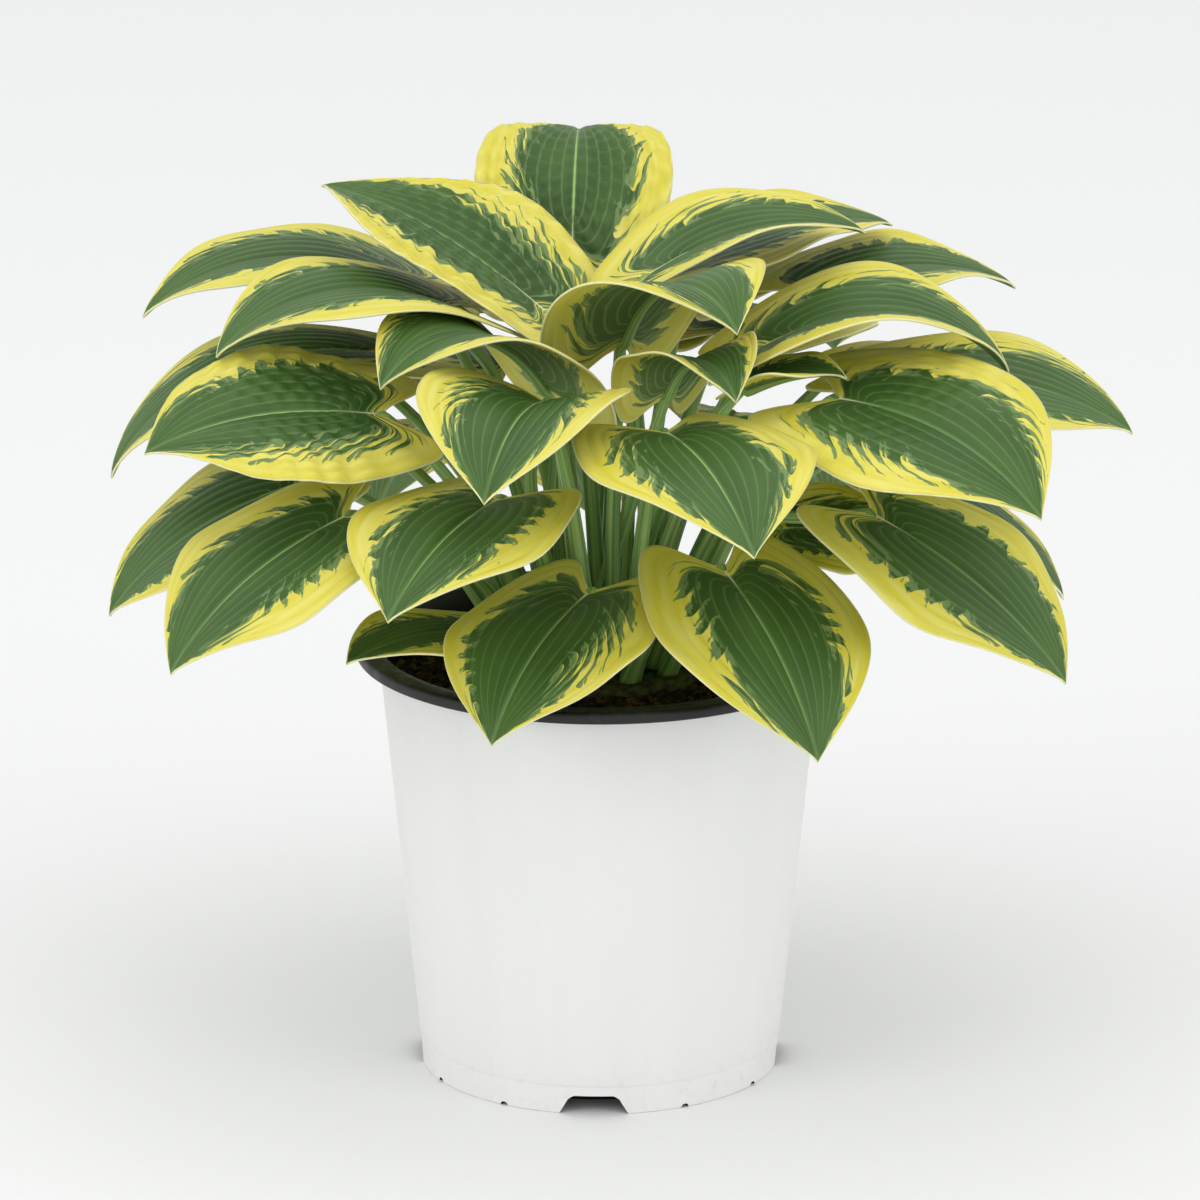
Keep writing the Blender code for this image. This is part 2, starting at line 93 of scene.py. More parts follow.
# How a leaf is drawn. These follow the solids, so that each visible leaf lies in its own solid's place.
LOBE_DEPTH = 0.26
LOBE_PLACE = 0.07
VEIN_START = 0.22
BEND_POWER = 1.3
STALK_BASE_RADIUS = 3.3
STALK_END_RADIUS = 2.1
STALK_SAMPLES = 25
FRAME_STEPS = 32
SPREAD_ROUNDS = 120
SPREAD_ROOM = 1.0
BLADE_ROOM = 3.8

FIELDS = "joint heading length width pitch bend sway roll fold cup"
Leaf = namedtuple("Leaf", FIELDS, defaults=(0, 0, 8, -20))

# joint: where the stalk meets the blade, in millimetres. The rest of the row is the blade's direction,
# length, width, slope, bend, sideways turn, roll, fold and cup, in millimetres and degrees.
# A row leaves off its last values where they are the defaults.
LEAVES = {
    "low": (
        ((-3, -67, 211), -122, 88, 82, -10, 42, 5),
        ((46, -63, 219), -64, 98, 86, -15, 48, 5),
        ((-44, -46, 190), -146, 64, 60, 8, 25, 0, 0, 8, -15),
        ((-94, -72, 243), -150, 96, 86, -15, 42, 0, -8),
        ((-110, -12, 239), -172, 98, 86, -14, 43, 0, -10),
        ((102, -60, 240), -27, 102, 86, -20, 32, 0, 9),
        ((110, 5, 236), -5, 88, 78, -15, 45),
        ((68, -22, 222), -5, 60, 50, 5, 30, 0, 25, 8, -15),
        ((92, 42, 232), 22, 100, 84, -15, 45),
        ((52, 86, 237), 60, 104, 90, -16, 48),
        ((2, 94, 223), 93, 100, 92, -15, 45),
        ((-46, 86, 236), 124, 104, 90, -16, 48),
        ((-88, 50, 236), 156, 100, 84, -15, 45),
    ),
    "middle": (
        ((24, -75, 276), -72, 102, 90, 8, 48, 5, 0, 10),
        ((-37, -78, 251), -120, 90, 84, 0, 40, 0, 0, 10),
        ((-82, -49, 275), -164, 96, 94, 12, 38, 0, -18, 10, -25),
        ((88, -53, 283), -40, 108, 96, 5, 48, 0, 15, 10),
        ((112, -2, 278), -6, 98, 90, 5, 40, 0, 8),
        ((-80, 22, 279), -171, 130, 86, 12, 78),
        ((-95, 65, 262), 162, 82, 75, 5, 40),
        ((-20, -62, 284), -106, 90, 82, 16, 62, 0, 0, 15, 0),
        ((92, 52, 264), 8, 72, 62, 12, 35),
        ((48, 84, 270), 62, 108, 88, 5, 50),
        ((8, 98, 266), 90, 108, 88, 5, 50),
        ((-34, 92, 254), 118, 90, 76, 5, 50),
    ),
    "upper": (
        ((-54, 5, 302), -162, 106, 88, 26, 74, 0, 0, 10, -15),
        ((-72, 70, 295), -170, 116, 88, 25, 68, 0, 0, 10, -15),
        ((-19, 12, 297), 148, 114, 92, 33, 30, 0, 0, 10, 0),
        ((-11, 70, 303), 88, 95, 80, 55, 75, 0, 0, 8, 10),
        ((17, 18, 311), 10, 92, 78, 32, 52, 0, 0, 12, 0),
        ((25, 62, 302), 18, 98, 88, 25, 42, 0, 0, 8, -10),
        ((78, 52, 296), 16, 92, 82, 18, 48, 0, 0, 10, -10),
        ((60, -25, 294), 4, 108, 88, 30, 84, 0, 0, 15, -10),
        ((8, -14, 292), -57, 98, 86, 62, 105, 0, 0, 12, -10),
        ((-19, -20, 275), -142, 98, 82, 58, 108, 0, 0, 12, -10),
        ((-66, 100, 278), 158, 84, 68, 28, 72, 0, 0, 10, -10),
        ((34, 84, 286), 58, 105, 84, 15, 55, 0, 0, 10, -10),
        ((-20, 92, 282), 96, 105, 84, 12, 55, 0, 0, 10, -10),
    ),
    "young": (
        ((25, -32, 277), -64, 72, 52, 58, 105, 0, 0, 15, 0),
        ((54, -47, 285), -12, 42, 40, 25, 35, 0, 0, 15, 0),
    ),
}
LEAVES = {tier: [Leaf(*row) for row in rows] for tier, rows in LEAVES.items()}
ROOT_RADII = {"low": 35.0, "middle": 26.0, "upper": 16.0, "young": 8.0}
# Leaves with strong puckers between their veins; the others are nearly smooth.
PUCKERED = {"leaf_upper_03": 1.0, "leaf_upper_04": 1.0, "leaf_middle_03": 0.7, "leaf_middle_04": 0.35}


def linear(code):
    """An sRGB hex colour as linear red, green and blue."""
    parts = [int(code[place : place + 2], 16) / 255 for place in (1, 3, 5)]
    return tuple(part / 12.92 if part <= 0.04045 else ((part + 0.055) / 1.055) ** 2.4 for part in parts)


def color_setting(name, description, code):
    return FloatVectorProperty(
        name=name, description=description, default=linear(code), subtype="COLOR", min=0, max=1
    )


def length_setting(name, description, millimetres):
    return FloatProperty(
        name=name, description=description, default=millimetres * MM, min=0, unit="LENGTH"
    )


UNDERSIDE_BLOOM = linear("#b4c98a")
SCUFF = linear("#cfcec9")
DUST = linear("#5a5149")
CROWN_EARTH = linear("#3a2c1d")
CROWN_GREEN = linear("#4d5a2c")
FLOOR_MOTTLE = linear("#efefef")


class HostaLeafSettings(bpy.types.PropertyGroup):
    green: color_setting("Green", "The middle of the blade", "#496a2f")
    deep_green: color_setting("Deep green", "The darker patches of the blade's middle", "#375721")
    gray_green: color_setting("Grey green", "The half-tone patches at the edge of the green", "#748c55")
    yellow: color_setting("Yellow", "The blade's margin", "#d9cf45")
    pale_yellow: color_setting("Pale yellow", "The margin's lightest streaks", "#e4dc72")
    edge: color_setting("Edge", "The thin translucent edge of the blade", "#f2f0c4")
    vein: color_setting("Vein", "The side veins", "#7f9f60")
    stalk: color_setting("Stalk", "The leaf stalks", "#9dbb6c")
    stalk_stripe: color_setting("Stalk stripe", "The stalks' darker stripes", "#5c8a48")
    thickness: length_setting("Thickness", "The blade's thickness", 0.8)
    vein_pairs: IntProperty(
        name="Vein pairs", description="Side veins on each half", default=8, min=3, max=14
    )
    margin: FloatProperty(
        name="Margin", description="The yellow margin's share of each half", default=0.48, min=0, max=1
    )
    wave: length_setting("Wave", "How far the margins rise and fall", 1.8)
    quilt: length_setting("Quilting", "How far the blade rises between veins", 0.5)


class HostaPotSettings(bpy.types.PropertyGroup):
    wall: color_setting("Wall", "The outer skin of the pot", "#ececeb")
    rim: color_setting("Rim", "The rim and the inside of the pot", "#101113")
    notch_height: length_setting("Notch height", "Height of the foot's notches", 7.5)
    notch_width: length_setting("Notch width", "Width at the top of a notch", 18)


class HostaSoilSettings(bpy.types.PropertyGroup):
    dark: color_setting("Dark", "Damp potting mix", "#1d1613")
    light: color_setting("Light", "Dry crumbs", "#4a382b")
    bark: color_setting("Bark", "Chips of bark", "#6b4a30")
    crumbs: IntProperty(name="Crumbs", description="How many loose crumbs lie on top", default=900, min=0)


class HostaStageSettings(bpy.types.PropertyGroup):
    floor: color_setting("Floor", "The floor and the backdrop", "#f0f1f1")
    light: FloatProperty(name="Light", description="Strength of the large soft light", default=10.6, min=0)


def unit(vectors):
    return vectors / np.linalg.norm(vectors, axis=-1, keepdims=True)


def blade_frames(leaf, along):
    """The midrib's points and its forward, left and up directions, at these distances from the joint."""
    share = np.linspace(0, 1, FRAME_STEPS + 1)
    turned = share**BEND_POWER
    pitch = np.radians(leaf.pitch - leaf.bend * turned)
    heading = np.radians(leaf.heading + leaf.sway * turned)
    ahead = np.stack([np.cos(pitch) * np.cos(heading), np.cos(pitch) * np.sin(heading), np.sin(pitch)], -1)
    steps = (ahead[1:] + ahead[:-1]) / 2 * (leaf.length / FRAME_STEPS)
    places = np.vstack([np.zeros(3), np.cumsum(steps, axis=0)]) + leaf.joint
    inside = np.clip(along / leaf.length, 0, 1)
    place = np.stack([np.interp(inside, share, places[:, axis]) for axis in range(3)], -1)
    pitch = np.interp(inside, share, pitch)
    heading = np.interp(inside, share, heading)
    ahead = np.stack([np.cos(pitch) * np.cos(heading), np.cos(pitch) * np.sin(heading), np.sin(pitch)], -1)
    place = place + ahead * np.minimum(along, 0)[..., None]
    level = np.stack([-np.sin(heading), np.cos(heading), np.zeros_like(heading)], -1)
    upright = np.cross(ahead, level)
    roll = math.radians(leaf.roll)
    left = level * math.cos(roll) + upright * math.sin(roll)
    up = upright * math.cos(roll) - level * math.sin(roll)
    return place, ahead, left, up


def half_width(toward_tip):
    """The blade's width at this place, as a share of its greatest."""
    wide = np.sin(math.pi * np.clip(toward_tip, 0, 1) ** 0.72) ** (0.75 + 0.32 * toward_tip**4)
    return np.where(toward_tip >= 1, 0.0, wide)


def blade_places(leaf, toward_tip, across, relief=0.0):
    """Points of the blade. toward_tip runs 0 to 1 along each vein; across runs -1 to 1, margin to margin."""
    side = np.abs(across)
    wide = half_width(toward_tip) * side
    near_lobe = toward_tip / LOBE_PLACE
    along = (
        toward_tip
        + VEIN_START * (1 - side) ** 1.5 * (1 - toward_tip) ** 4
        - LOBE_DEPTH * side**1.6 * near_lobe * np.exp(1 - near_lobe)
    )
    fold = math.radians(leaf.fold)
    cup = math.radians(leaf.cup if leaf.cup else 0.01)
    out = (np.sin(fold + cup * wide) - math.sin(fold)) / cup * leaf.width / 2
    rise = (math.cos(fold) - np.cos(fold + cup * wide)) / cup * leaf.width / 2 + relief
    place, _, left, up = blade_frames(leaf, along * leaf.length)
    return place + left * (out * np.sign(across))[..., None] + up * rise[..., None]


def stalk_roots(leaves, radius):
    """Where a tier's stalks stand: evenly round a ring of the crown, in the order of their leaves."""
    turns = np.array([math.atan2(leaf.joint[1], leaf.joint[0]) for leaf in leaves])
    order = turns.argsort()
    even = np.arange(len(leaves)) * 2 * math.pi / len(leaves)
    shift = np.angle(np.exp(1j * (turns[order] - even)).sum())
    turns[order] = even + shift
    height = np.full(len(leaves), CROWN_TOP + GAP)
    return np.stack([radius * np.cos(turns), radius * np.sin(turns), height], -1)


def stalk_route(leaf, root):
    """A stalk's points before its neighbours are minded, from the crown to the blade's joint."""
    joint = np.array(leaf.joint, float)
    outward = unit(joint * [1, 1, 0])
    _, ahead, _, _ = blade_frames(leaf, np.zeros(1))
    reach = np.linalg.norm(joint - root)
    rising = unit(0.25 * outward + [0, 0, 1])
    leave = root + rising * 0.5 * reach
    arrive = joint - unit(ahead[0] + 0.7 * rising) * 0.2 * reach
    share = np.linspace(0, 1, STALK_SAMPLES)[:, None]
    route = root * (1 - share) ** 3 + 3 * leave * share * (1 - share) ** 2
    return route + 3 * arrive * share**2 * (1 - share) + joint * share**3


def blade_samples(leaves):
    """Points over every blade, each with its leaf's number, its upward normal and its way to the margin."""
    toward_tip = np.linspace(0.01, 0.97, 17)[:, None]
    across = np.linspace(-0.98, 0.98, 15)[None, :]
    step = 0.01
    places = []
    normals = []
    outward = []
    for leaf in leaves:
        here = blade_places(leaf, toward_tip, across)
        ahead = blade_places(leaf, toward_tip + step, across) - here
        left = blade_places(leaf, toward_tip, across + step) - here
        side = np.where(across < 0, -1.0, 1.0)[..., None]
        places.append(here.reshape(-1, 3))
        normals.append(unit(np.cross(ahead, left)).reshape(-1, 3))
        outward.append(unit(left * side - 0.5 * ahead).reshape(-1, 3))
    owner = np.repeat(np.arange(len(leaves)), places[0].shape[0])
    return np.concatenate(places), owner, np.concatenate(normals), np.concatenate(outward)


def push_from_stalks(routes, radii):
    """How far each point of each stalk must move to clear the other stalks."""
    count, samples, _ = routes.shape
    points = routes.reshape(-1, 3)
    owner = np.repeat(np.arange(count), samples)
    radius = np.tile(radii, count)
    apart = points[:, None] - points[None]
    distance = np.linalg.norm(apart, axis=-1) + 1e-6
    room = radius[:, None] + radius[None] + SPREAD_ROOM
    short = np.where(owner[:, None] != owner[None], np.maximum(room - distance, 0), 0)
    nearest = short.argmax(axis=1)
    pick = np.arange(len(points))
    push = apart[pick, nearest] / distance[pick, nearest, None] * short[pick, nearest, None] / 2
    return push.reshape(routes.shape)


def push_from_blades(routes, radii, tree, samples):
    """How far each point of each stalk must move to clear the other leaves' blades."""
    places, owner, normals, outward = samples
    push = np.zeros_like(routes)
    for stalk, route in enumerate(routes):
        near = []
        for index, point in enumerate(route):
            for _, sample, _ in tree.find_range(tuple(point), radii[index] + SPREAD_ROOM + BLADE_ROOM):
                if owner[sample] != stalk:
                    near.append((index, sample))
        for blade in {owner[sample] for _, sample in near}:
            pairs = [(index, sample) for index, sample in near if owner[sample] == blade]
            above = [float(normals[sample] @ (route[index] - places[sample])) for index, sample in pairs]
            crossing = min(above) < 0 < max(above)
            for (index, sample), height in zip(pairs, above):
                room = radii[index] + SPREAD_ROOM + 0.4 - abs(height)
                if crossing:
                    push[stalk, index] = outward[sample] * 1.2
                elif room > 0:
                    push[stalk, index] = normals[sample] * math.copysign(room, height)
    return push


def spread_stalks(leaves, roots):
    """The stalks' routes, moved apart until they pass one another and the blades."""
    routes = np.array([stalk_route(leaf, root) for leaf, root in zip(leaves, roots)])
    radii = np.linspace(STALK_BASE_RADIUS, STALK_END_RADIUS, STALK_SAMPLES)
    samples = blade_samples(leaves)
    tree = kdtree.KDTree(len(samples[0]))
    for index, place in enumerate(samples[0]):
        tree.insert(place, index)
    tree.balance()
    for _ in range(SPREAD_ROUNDS):
        push = push_from_stalks(routes, radii) + push_from_blades(routes, radii, tree, samples)
        push[:, -2:] = 0
        push[:, 0, 2] = 0
        for _ in range(4):
            push[:, 1:-1] = (push[:, :-2] + 2 * push[:, 1:-1] + push[:, 2:]) / 4
        routes += 1.5 * push
        routes[:, 1:-1] += 0.08 * (routes[:, :-2] - 2 * routes[:, 1:-1] + routes[:, 2:])
        off_crown = np.linalg.norm(routes[:, 0, :2], axis=1) / (CROWN_RADIUS - STALK_BASE_RADIUS)
        routes[:, 0, :2] /= np.maximum(off_crown, 1)[:, None]
    return routes


def add_node(tree, kind, inputs=None, **settings):
    """A shader node with its settings; a socket in inputs is linked, and a plain value is set."""
    node = tree.nodes.new(kind)
    for name, value in settings.items():
        setattr(node, name, value)
    for socket, value in (inputs or {}).items():
        if isinstance(value, bpy.types.NodeSocket):
            tree.links.new(value, node.inputs[socket])
        else:
            node.inputs[socket].default_value = value
    return node


def calc(tree, operation, *values, **settings):
    """What a math node makes of the values."""
    inputs = dict(enumerate(values))
    return add_node(tree, "ShaderNodeMath", inputs, operation=operation, **settings).outputs[0]


def rescale(tree, value, low, high, start=0, end=1):
    """The value carried from low and high to start and end, and held between them."""
    return add_node(tree, "ShaderNodeMapRange", {0: value, 1: low, 2: high, 3: start, 4: end}).outputs[0]


def object_place(tree):
    return add_node(tree, "ShaderNodeTexCoord").outputs["Object"]


def stretch(tree, place, scales):
    return add_node(tree, "ShaderNodeVectorMath", {0: place, 1: scales}, operation="MULTIPLY").outputs[0]


def texture_noise(tree, place, scale, detail, roughness=0.5):
    inputs = {"Vector": place, "Scale": scale, "Detail": detail, "Roughness": roughness}
    return add_node(tree, "ShaderNodeTexNoise", inputs).outputs[0]


def mix_colors(tree, share, first, second):
    """The colour this far from first to second, each a socket or linear red, green and blue."""
    ends = [color if isinstance(color, bpy.types.NodeSocket) else (*color, 1) for color in (first, second)]
    return add_node(tree, "ShaderNodeMix", {0: share, 6: ends[0], 7: ends[1]}, data_type="RGBA").outputs[2]


def finish_surface(tree, shader, color, strength, distance, height):
    """Links the colour, and a bump of this strength and depth."""
    tree.links.new(color, shader.inputs["Base Color"])
    bump = add_node(tree, "ShaderNodeBump", {"Strength": strength, "Distance": distance, "Height": height})
    tree.links.new(bump.outputs[0], shader.inputs["Normal"])


def start_material(name, **sockets):
    """A material with one Principled shader and its constant sockets set."""
    material = bpy.data.materials.new(name)
    material.use_nodes = True
    shader = material.node_tree.nodes["Principled BSDF"]
    for socket, value in sockets.items():
        shader.inputs[socket.replace("_", " ")].default_value = value
    return material, material.node_tree, shader


def add_object(name, points, faces, materials, material_of_face=None, smooth=True):
    """A mesh object from points in millimetres."""
    mesh = bpy.data.meshes.new(name)
    mesh.from_pydata([tuple(point) for point in (np.asarray(points, float) * MM).tolist()], [], faces)
    for material in materials:
        mesh.materials.append(material)
    if material_of_face is not None:
        mesh.polygons.foreach_set("material_index", material_of_face)
    mesh.polygons.foreach_set("use_smooth", [smooth] * len(mesh.polygons))
    placed = bpy.data.objects.new(name, mesh)
    bpy.context.scene.collection.objects.link(placed)
    return placed


def keep_result(placed):
    """Turns the object's modifiers into its mesh."""
    graph = bpy.context.evaluated_depsgraph_get()
    mesh = bpy.data.meshes.new_from_object(placed.evaluated_get(graph))
    placed.modifiers.clear()
    placed.data = mesh


def stand_for(placed, node):
    """The object rides on the one body and is shown instead of the solid."""
    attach(placed, "root")
    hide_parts(node)


# Leaf materials


# Four noises stretched along the veins: on a half blade about 43 mm wide they make streaks 1.3, 3.3, 14 and
# 1.8 mm wide. Each row holds the scales across, along and between leaves, and the detail.
STREAKS = (((34, 7, 1), 2), ((13, 4.5, 1), 1), ((3, 2.6, 1), 0), ((24, 5, 1.7), 2))
# The green ends in two sizes of teeth that lean toward the tip, about 12 mm and 5 mm long. Each row holds how
# many there are along a blade, and how they lean, wander and bite into the margin.
TEETH = ((8.0, -4.5, 4.0, -0.2), (19.0, -10.0, 5.0, -0.07))


def leaf_material(name, settings, under):
    """A hosta blade, grown in shade: a waxy cuticle over soft tissue.

    The eye sees a satin sheen above and a paler, matte face beneath. The green middle breaks up into streaks
    that follow the veins, and the margin is yellow.
    """
    material, tree, shader = start_material(
        name,
        Roughness=0.62 if under else 0.46,
        IOR=1.42,
        Subsurface_Weight=0.25,
        Subsurface_Scale=0.0012,
        Subsurface_Radius=(0.9, 1.0, 0.25),
        Specular_IOR_Level=0.3 if under else 0.42,
    )
    growth = add_node(tree, "ShaderNodeAttribute", attribute_name="growth").outputs["Vector"]
    spread = add_node(tree, "ShaderNodeAttribute", attribute_name="spread").outputs["Vector"]
    parts = add_node(tree, "ShaderNodeSeparateXYZ", {0: growth})
    reach = add_node(tree, "ShaderNodeSeparateXYZ", {0: spread})
    side = calc(tree, "ABSOLUTE", parts.outputs[0])
    noises = []
    for scales, detail in STREAKS:
        streaks = texture_noise(tree, stretch(tree, growth, scales), 1, detail)
        noises.append(calc(tree, "SUBTRACT", streaks, 0.5))
    fine, broad, slow, other = noises
    # Toward the tip the green takes over more of the margin.
    late = calc(tree, "POWER", parts.outputs[1], 4.0)
    level = calc(tree, "MULTIPLY_ADD", late, -0.3, settings.margin - 1)
    level = calc(tree, "ADD", side, level)
    for count, lean, wander, depth in TEETH:
        turn = calc(tree, "MULTIPLY", parts.outputs[1], count)
        turn = calc(tree, "MULTIPLY_ADD", side, lean, turn)
        turn = calc(tree, "MULTIPLY_ADD", slow, wander, turn)
        tooth = calc(tree, "FRACT", turn)
        level = calc(tree, "MULTIPLY_ADD", tooth, depth, level)
    for part, amount in ((broad, 0.2), (slow, 0.34), (fine, 0.12)):
        level = calc(tree, "MULTIPLY_ADD", part, amount, level)
    yellow = rescale(tree, level, -0.012, 0.012)
    half = calc(tree, "MULTIPLY_ADD", other, 0.45, level)
    half = rescale(tree, half, -0.11, -0.07)
    # Painted shade: the green is darkened toward the lobes and the base, where the blades lie in shade, and
    # pales toward the tip. The slow streaks mixed in are the leaf's own tone.
    base = calc(tree, "MULTIPLY_ADD", parts.outputs[1], -0.6, 0.8)
    streaks_and_painted_shade = calc(tree, "MULTIPLY_ADD", slow, 1.6, base, use_clamp=True)
    deep = mix_colors(tree, streaks_and_painted_shade, settings.green, settings.deep_green)
    phase = calc(tree, "MULTIPLY", side, settings.vein_pairs)
    between = calc(tree, "PINGPONG", phase, 0.5)
    vein = rescale(tree, between, 0.0, 0.15, 0.7 if under else 0.36, 0)
    middle = rescale(tree, reach.outputs[0], 0.2, 1.5, 0.6, 0)
    vein = calc(tree, "MAXIMUM", vein, middle)
    veined = mix_colors(tree, vein, deep, settings.vein)
    toned = mix_colors(tree, half, veined, settings.gray_green)
    light = calc(tree, "MULTIPLY_ADD", broad, 2.4, 0.4, use_clamp=True)
    pale = mix_colors(tree, light, settings.yellow, settings.pale_yellow)
    color = mix_colors(tree, yellow, toned, pale)
    # Painted light: a pale line along the margin stands in for light shining through the thin edge.
    rim = rescale(tree, reach.outputs[1], 0.15, 0.55, 0.8, 0)
    color = mix_colors(tree, rim, color, settings.edge)
    if under:
        color = mix_colors(tree, 0.16, color, UNDERSIDE_BLOOM)
    # Cell-sized grain is too fine to show, so it is drawn at 0.7 mm.
    place = object_place(tree)
    grain = texture_noise(tree, place, 1 / (0.7 * MM), 2)
    ridge = calc(tree, "MULTIPLY_ADD", vein, 1.8 if under else -2.2, grain)
    finish_surface(tree, shader, color, 0.6, 0.15 * MM, ridge)
    return material


def stalk_material(settings):
    """A fleshy leaf stalk, grown: smooth and slightly glossy, with long darker stripes along its fibres."""
    material, tree, shader = start_material(
        "fleshy_stalk_grown", Roughness=0.4, IOR=1.42, Subsurface_Weight=0.3, Subsurface_Scale=0.002
    )
    growth = add_node(tree, "ShaderNodeAttribute", attribute_name="growth").outputs["Vector"]
    stretched = stretch(tree, growth, (3.2, 1.2, 1))
    stripes = texture_noise(tree, stretched, 1, 3)
    share = rescale(tree, stripes, 0.42, 0.62)
    color = mix_colors(tree, share, settings.stalk, settings.stalk_stripe)
    finish_surface(tree, shader, color, 0.3, 0.2 * MM, stripes)
    return material


BLADE_ROWS = 64
BLADE_COLUMNS = 32  # each side of the midrib, four to a vein
STALK_SIDES = 18
STALK_RINGS = 56
RIB_RINGS = 22
RIB_REACH = 0.86  # how far along the blade the stalk runs on as its midrib
RIB_END_RADIUS = 0.35
CHANNEL_DEPTH = 0.42  # as a share of the stalk's radius
CHANNEL_TURN = 0.62


def blade_relief(leaf, toward_tip, across, pucker, settings, random):
    """How far the blade stands above its plain form: quilting, puckers, waves and the midrib's groove."""
    side = np.abs(across)
    body = half_width(toward_tip) * (1 - toward_tip**6)
    phase = side * settings.vein_pairs
    between = np.abs(np.sin(math.pi * phase))
    quilt = settings.quilt / MM * (between**0.8 - 0.5) * body
    strip = np.floor(phase)
    turns = random.uniform(0, 2 * math.pi, 2 * settings.vein_pairs + 2)[
        (strip + np.where(across < 0, settings.vein_pairs, 0)).astype(int)
    ]
    pucker_steps = 2 * math.pi * leaf.length / 9
    puckers = pucker * 1.5 * between * np.sin(pucker_steps * toward_tip + turns) * body
    puckers = puckers * np.minimum(1, 4 * side)
    start, more = random.uniform(0, 2 * math.pi, 2)
    turn = np.where(across < 0, start, more)
    count = random.uniform(1.2, 2.2)
    wave = settings.wave / MM * side**3 * body * np.sin(2 * math.pi * count * toward_tip + turn)
    groove = -0.7 * np.exp(-((side * half_width(toward_tip) * leaf.width / 2 / 1.6) ** 2)) * (toward_tip > 0)
    return quilt + puckers + wave + groove


def blade_mesh(leaf, seed, pucker, settings):
    """The blade's middle surface, with each corner's place in its growth and its way to midrib and margin."""
    random = np.random.default_rng(seed)
    toward_tip = (np.linspace(0, 1, BLADE_ROWS + 1) ** 1.6)[:, None]
    across = np.linspace(-1, 1, 2 * BLADE_COLUMNS + 1)[None, :]
    relief = blade_relief(leaf, toward_tip, across, pucker, settings, random)
    relief[0] = 0
    grid = blade_places(leaf, toward_tip, across, relief)
    width = half_width(toward_tip) * leaf.width / 2
    from_midrib = width * np.abs(across)
    from_margin = width * (1 - np.abs(across))
    growth = np.stack(np.broadcast_arrays(across, toward_tip, seed * 7.31), -1)
    spread = np.stack(np.broadcast_arrays(from_midrib, from_margin, toward_tip * leaf.length), -1)
    numbers = np.arange(relief.size).reshape(relief.shape)
    shared = numbers.copy()
    shared[0, :BLADE_COLUMNS] = shared[0, :BLADE_COLUMNS:-1]
    shared[-1, :] = shared[-1, BLADE_COLUMNS]
    faces = []
    corners = []
    for row in range(BLADE_ROWS):
        for column in range(2 * BLADE_COLUMNS):
            ring = ((row, column), (row + 1, column), (row + 1, column + 1), (row, column + 1))
            points = [int(shared[place]) for place in ring]
            kept = [spot for spot, point in enumerate(points) if point != points[spot - 1]]
            faces.append([points[spot] for spot in kept])
            corners += [int(numbers[ring[spot]]) for spot in kept]
    used = np.unique(np.concatenate([np.array(face) for face in faces]))
    renumber = np.zeros(relief.size, int)
    renumber[used] = np.arange(len(used))
    faces = [[int(renumber[point]) for point in face] for face in faces]
    return grid.reshape(-1, 3)[used], faces, growth.reshape(-1, 3)[corners], spread.reshape(-1, 3)[corners]


def write_corners(mesh, name, values):
    layer = mesh.attributes.new(name, "FLOAT_VECTOR", "CORNER")
    layer.data.foreach_set("vector", np.ascontiguousarray(values, np.float32).ravel())


def stalk_mesh(leaf, route, seed):
    """The stalk, channelled on its upper side, which runs on under the blade as the midrib."""
    samples = np.linspace(0, 1, STALK_SAMPLES)
    share = np.linspace(0, 1, STALK_RINGS)
    risen = np.stack([np.interp(share, samples, route[:, axis]) for axis in range(3)], -1)
    for _ in range(2):
        risen[1:-1] = (risen[:-2] + 2 * risen[1:-1] + risen[2:]) / 4
    along = np.linspace(0, RIB_REACH * leaf.length, RIB_RINGS)[1:]
    place, _, _, up = blade_frames(leaf, along)
    rib_radii = np.linspace(STALK_END_RADIUS, RIB_END_RADIUS, RIB_RINGS)[1:]
    rib = place - up * (rib_radii * 0.75 + 0.35)[:, None]
    foot = 1 + 0.35 * np.exp(-share * 9)
    radii = np.concatenate([np.linspace(STALK_BASE_RADIUS, STALK_END_RADIUS, STALK_RINGS) * foot, rib_radii])
    spine = np.vstack([risen, rib])
    ahead = unit(np.gradient(spine, axis=0))
    ahead[0] = (0, 0, 1)
    _, _, blade_left, _ = blade_frames(leaf, np.zeros(1))
    side = unit(np.cross(np.cross(ahead, blade_left[0]), ahead))
    upright = np.cross(ahead, side)
    turns = np.linspace(0, 2 * math.pi, STALK_SIDES, endpoint=False)
    open_side = np.abs(np.angle(np.exp(1j * (turns - math.pi / 2))))
    steps = np.arange(len(spine)) / STALK_RINGS
    fading = np.clip(1.25 - steps, 0, 1)[:, None]
    channel = CHANNEL_DEPTH * np.exp(-((open_side / CHANNEL_TURN) ** 2))[None, :] * fading
    reach = radii[:, None] * (1 - channel)
    points = (
        spine[:, None]
        + side[:, None] * (reach * np.cos(turns))[..., None]
        + upright[:, None] * (reach * np.sin(turns))[..., None]
    )
    faces = []
    growth = []
    spot = seed * 3.17
    for ring in range(len(spine) - 1):
        for corner in range(STALK_SIDES):
            following = (corner + 1) % STALK_SIDES
            low = ring * STALK_SIDES
            high = low + STALK_SIDES
            faces.append([low + corner, low + following, high + following, high + corner])
            for step, turned in ((0, 0), (0, 1), (1, 1), (1, 0)):
                turn = turns[corner] + turned * 2 * math.pi / STALK_SIDES
                growth.append((math.cos(turn) + spot, (ring + step) / STALK_RINGS, math.sin(turn) * 3.2))
    faces.append(list(reversed(range(STALK_SIDES))))
    growth += [(spot, 0, 0)] * STALK_SIDES
    faces.append([(len(spine) - 1) * STALK_SIDES + corner for corner in range(STALK_SIDES)])
    growth += [(spot, 1, 0)] * STALK_SIDES
    return points.reshape(-1, 3), faces, growth


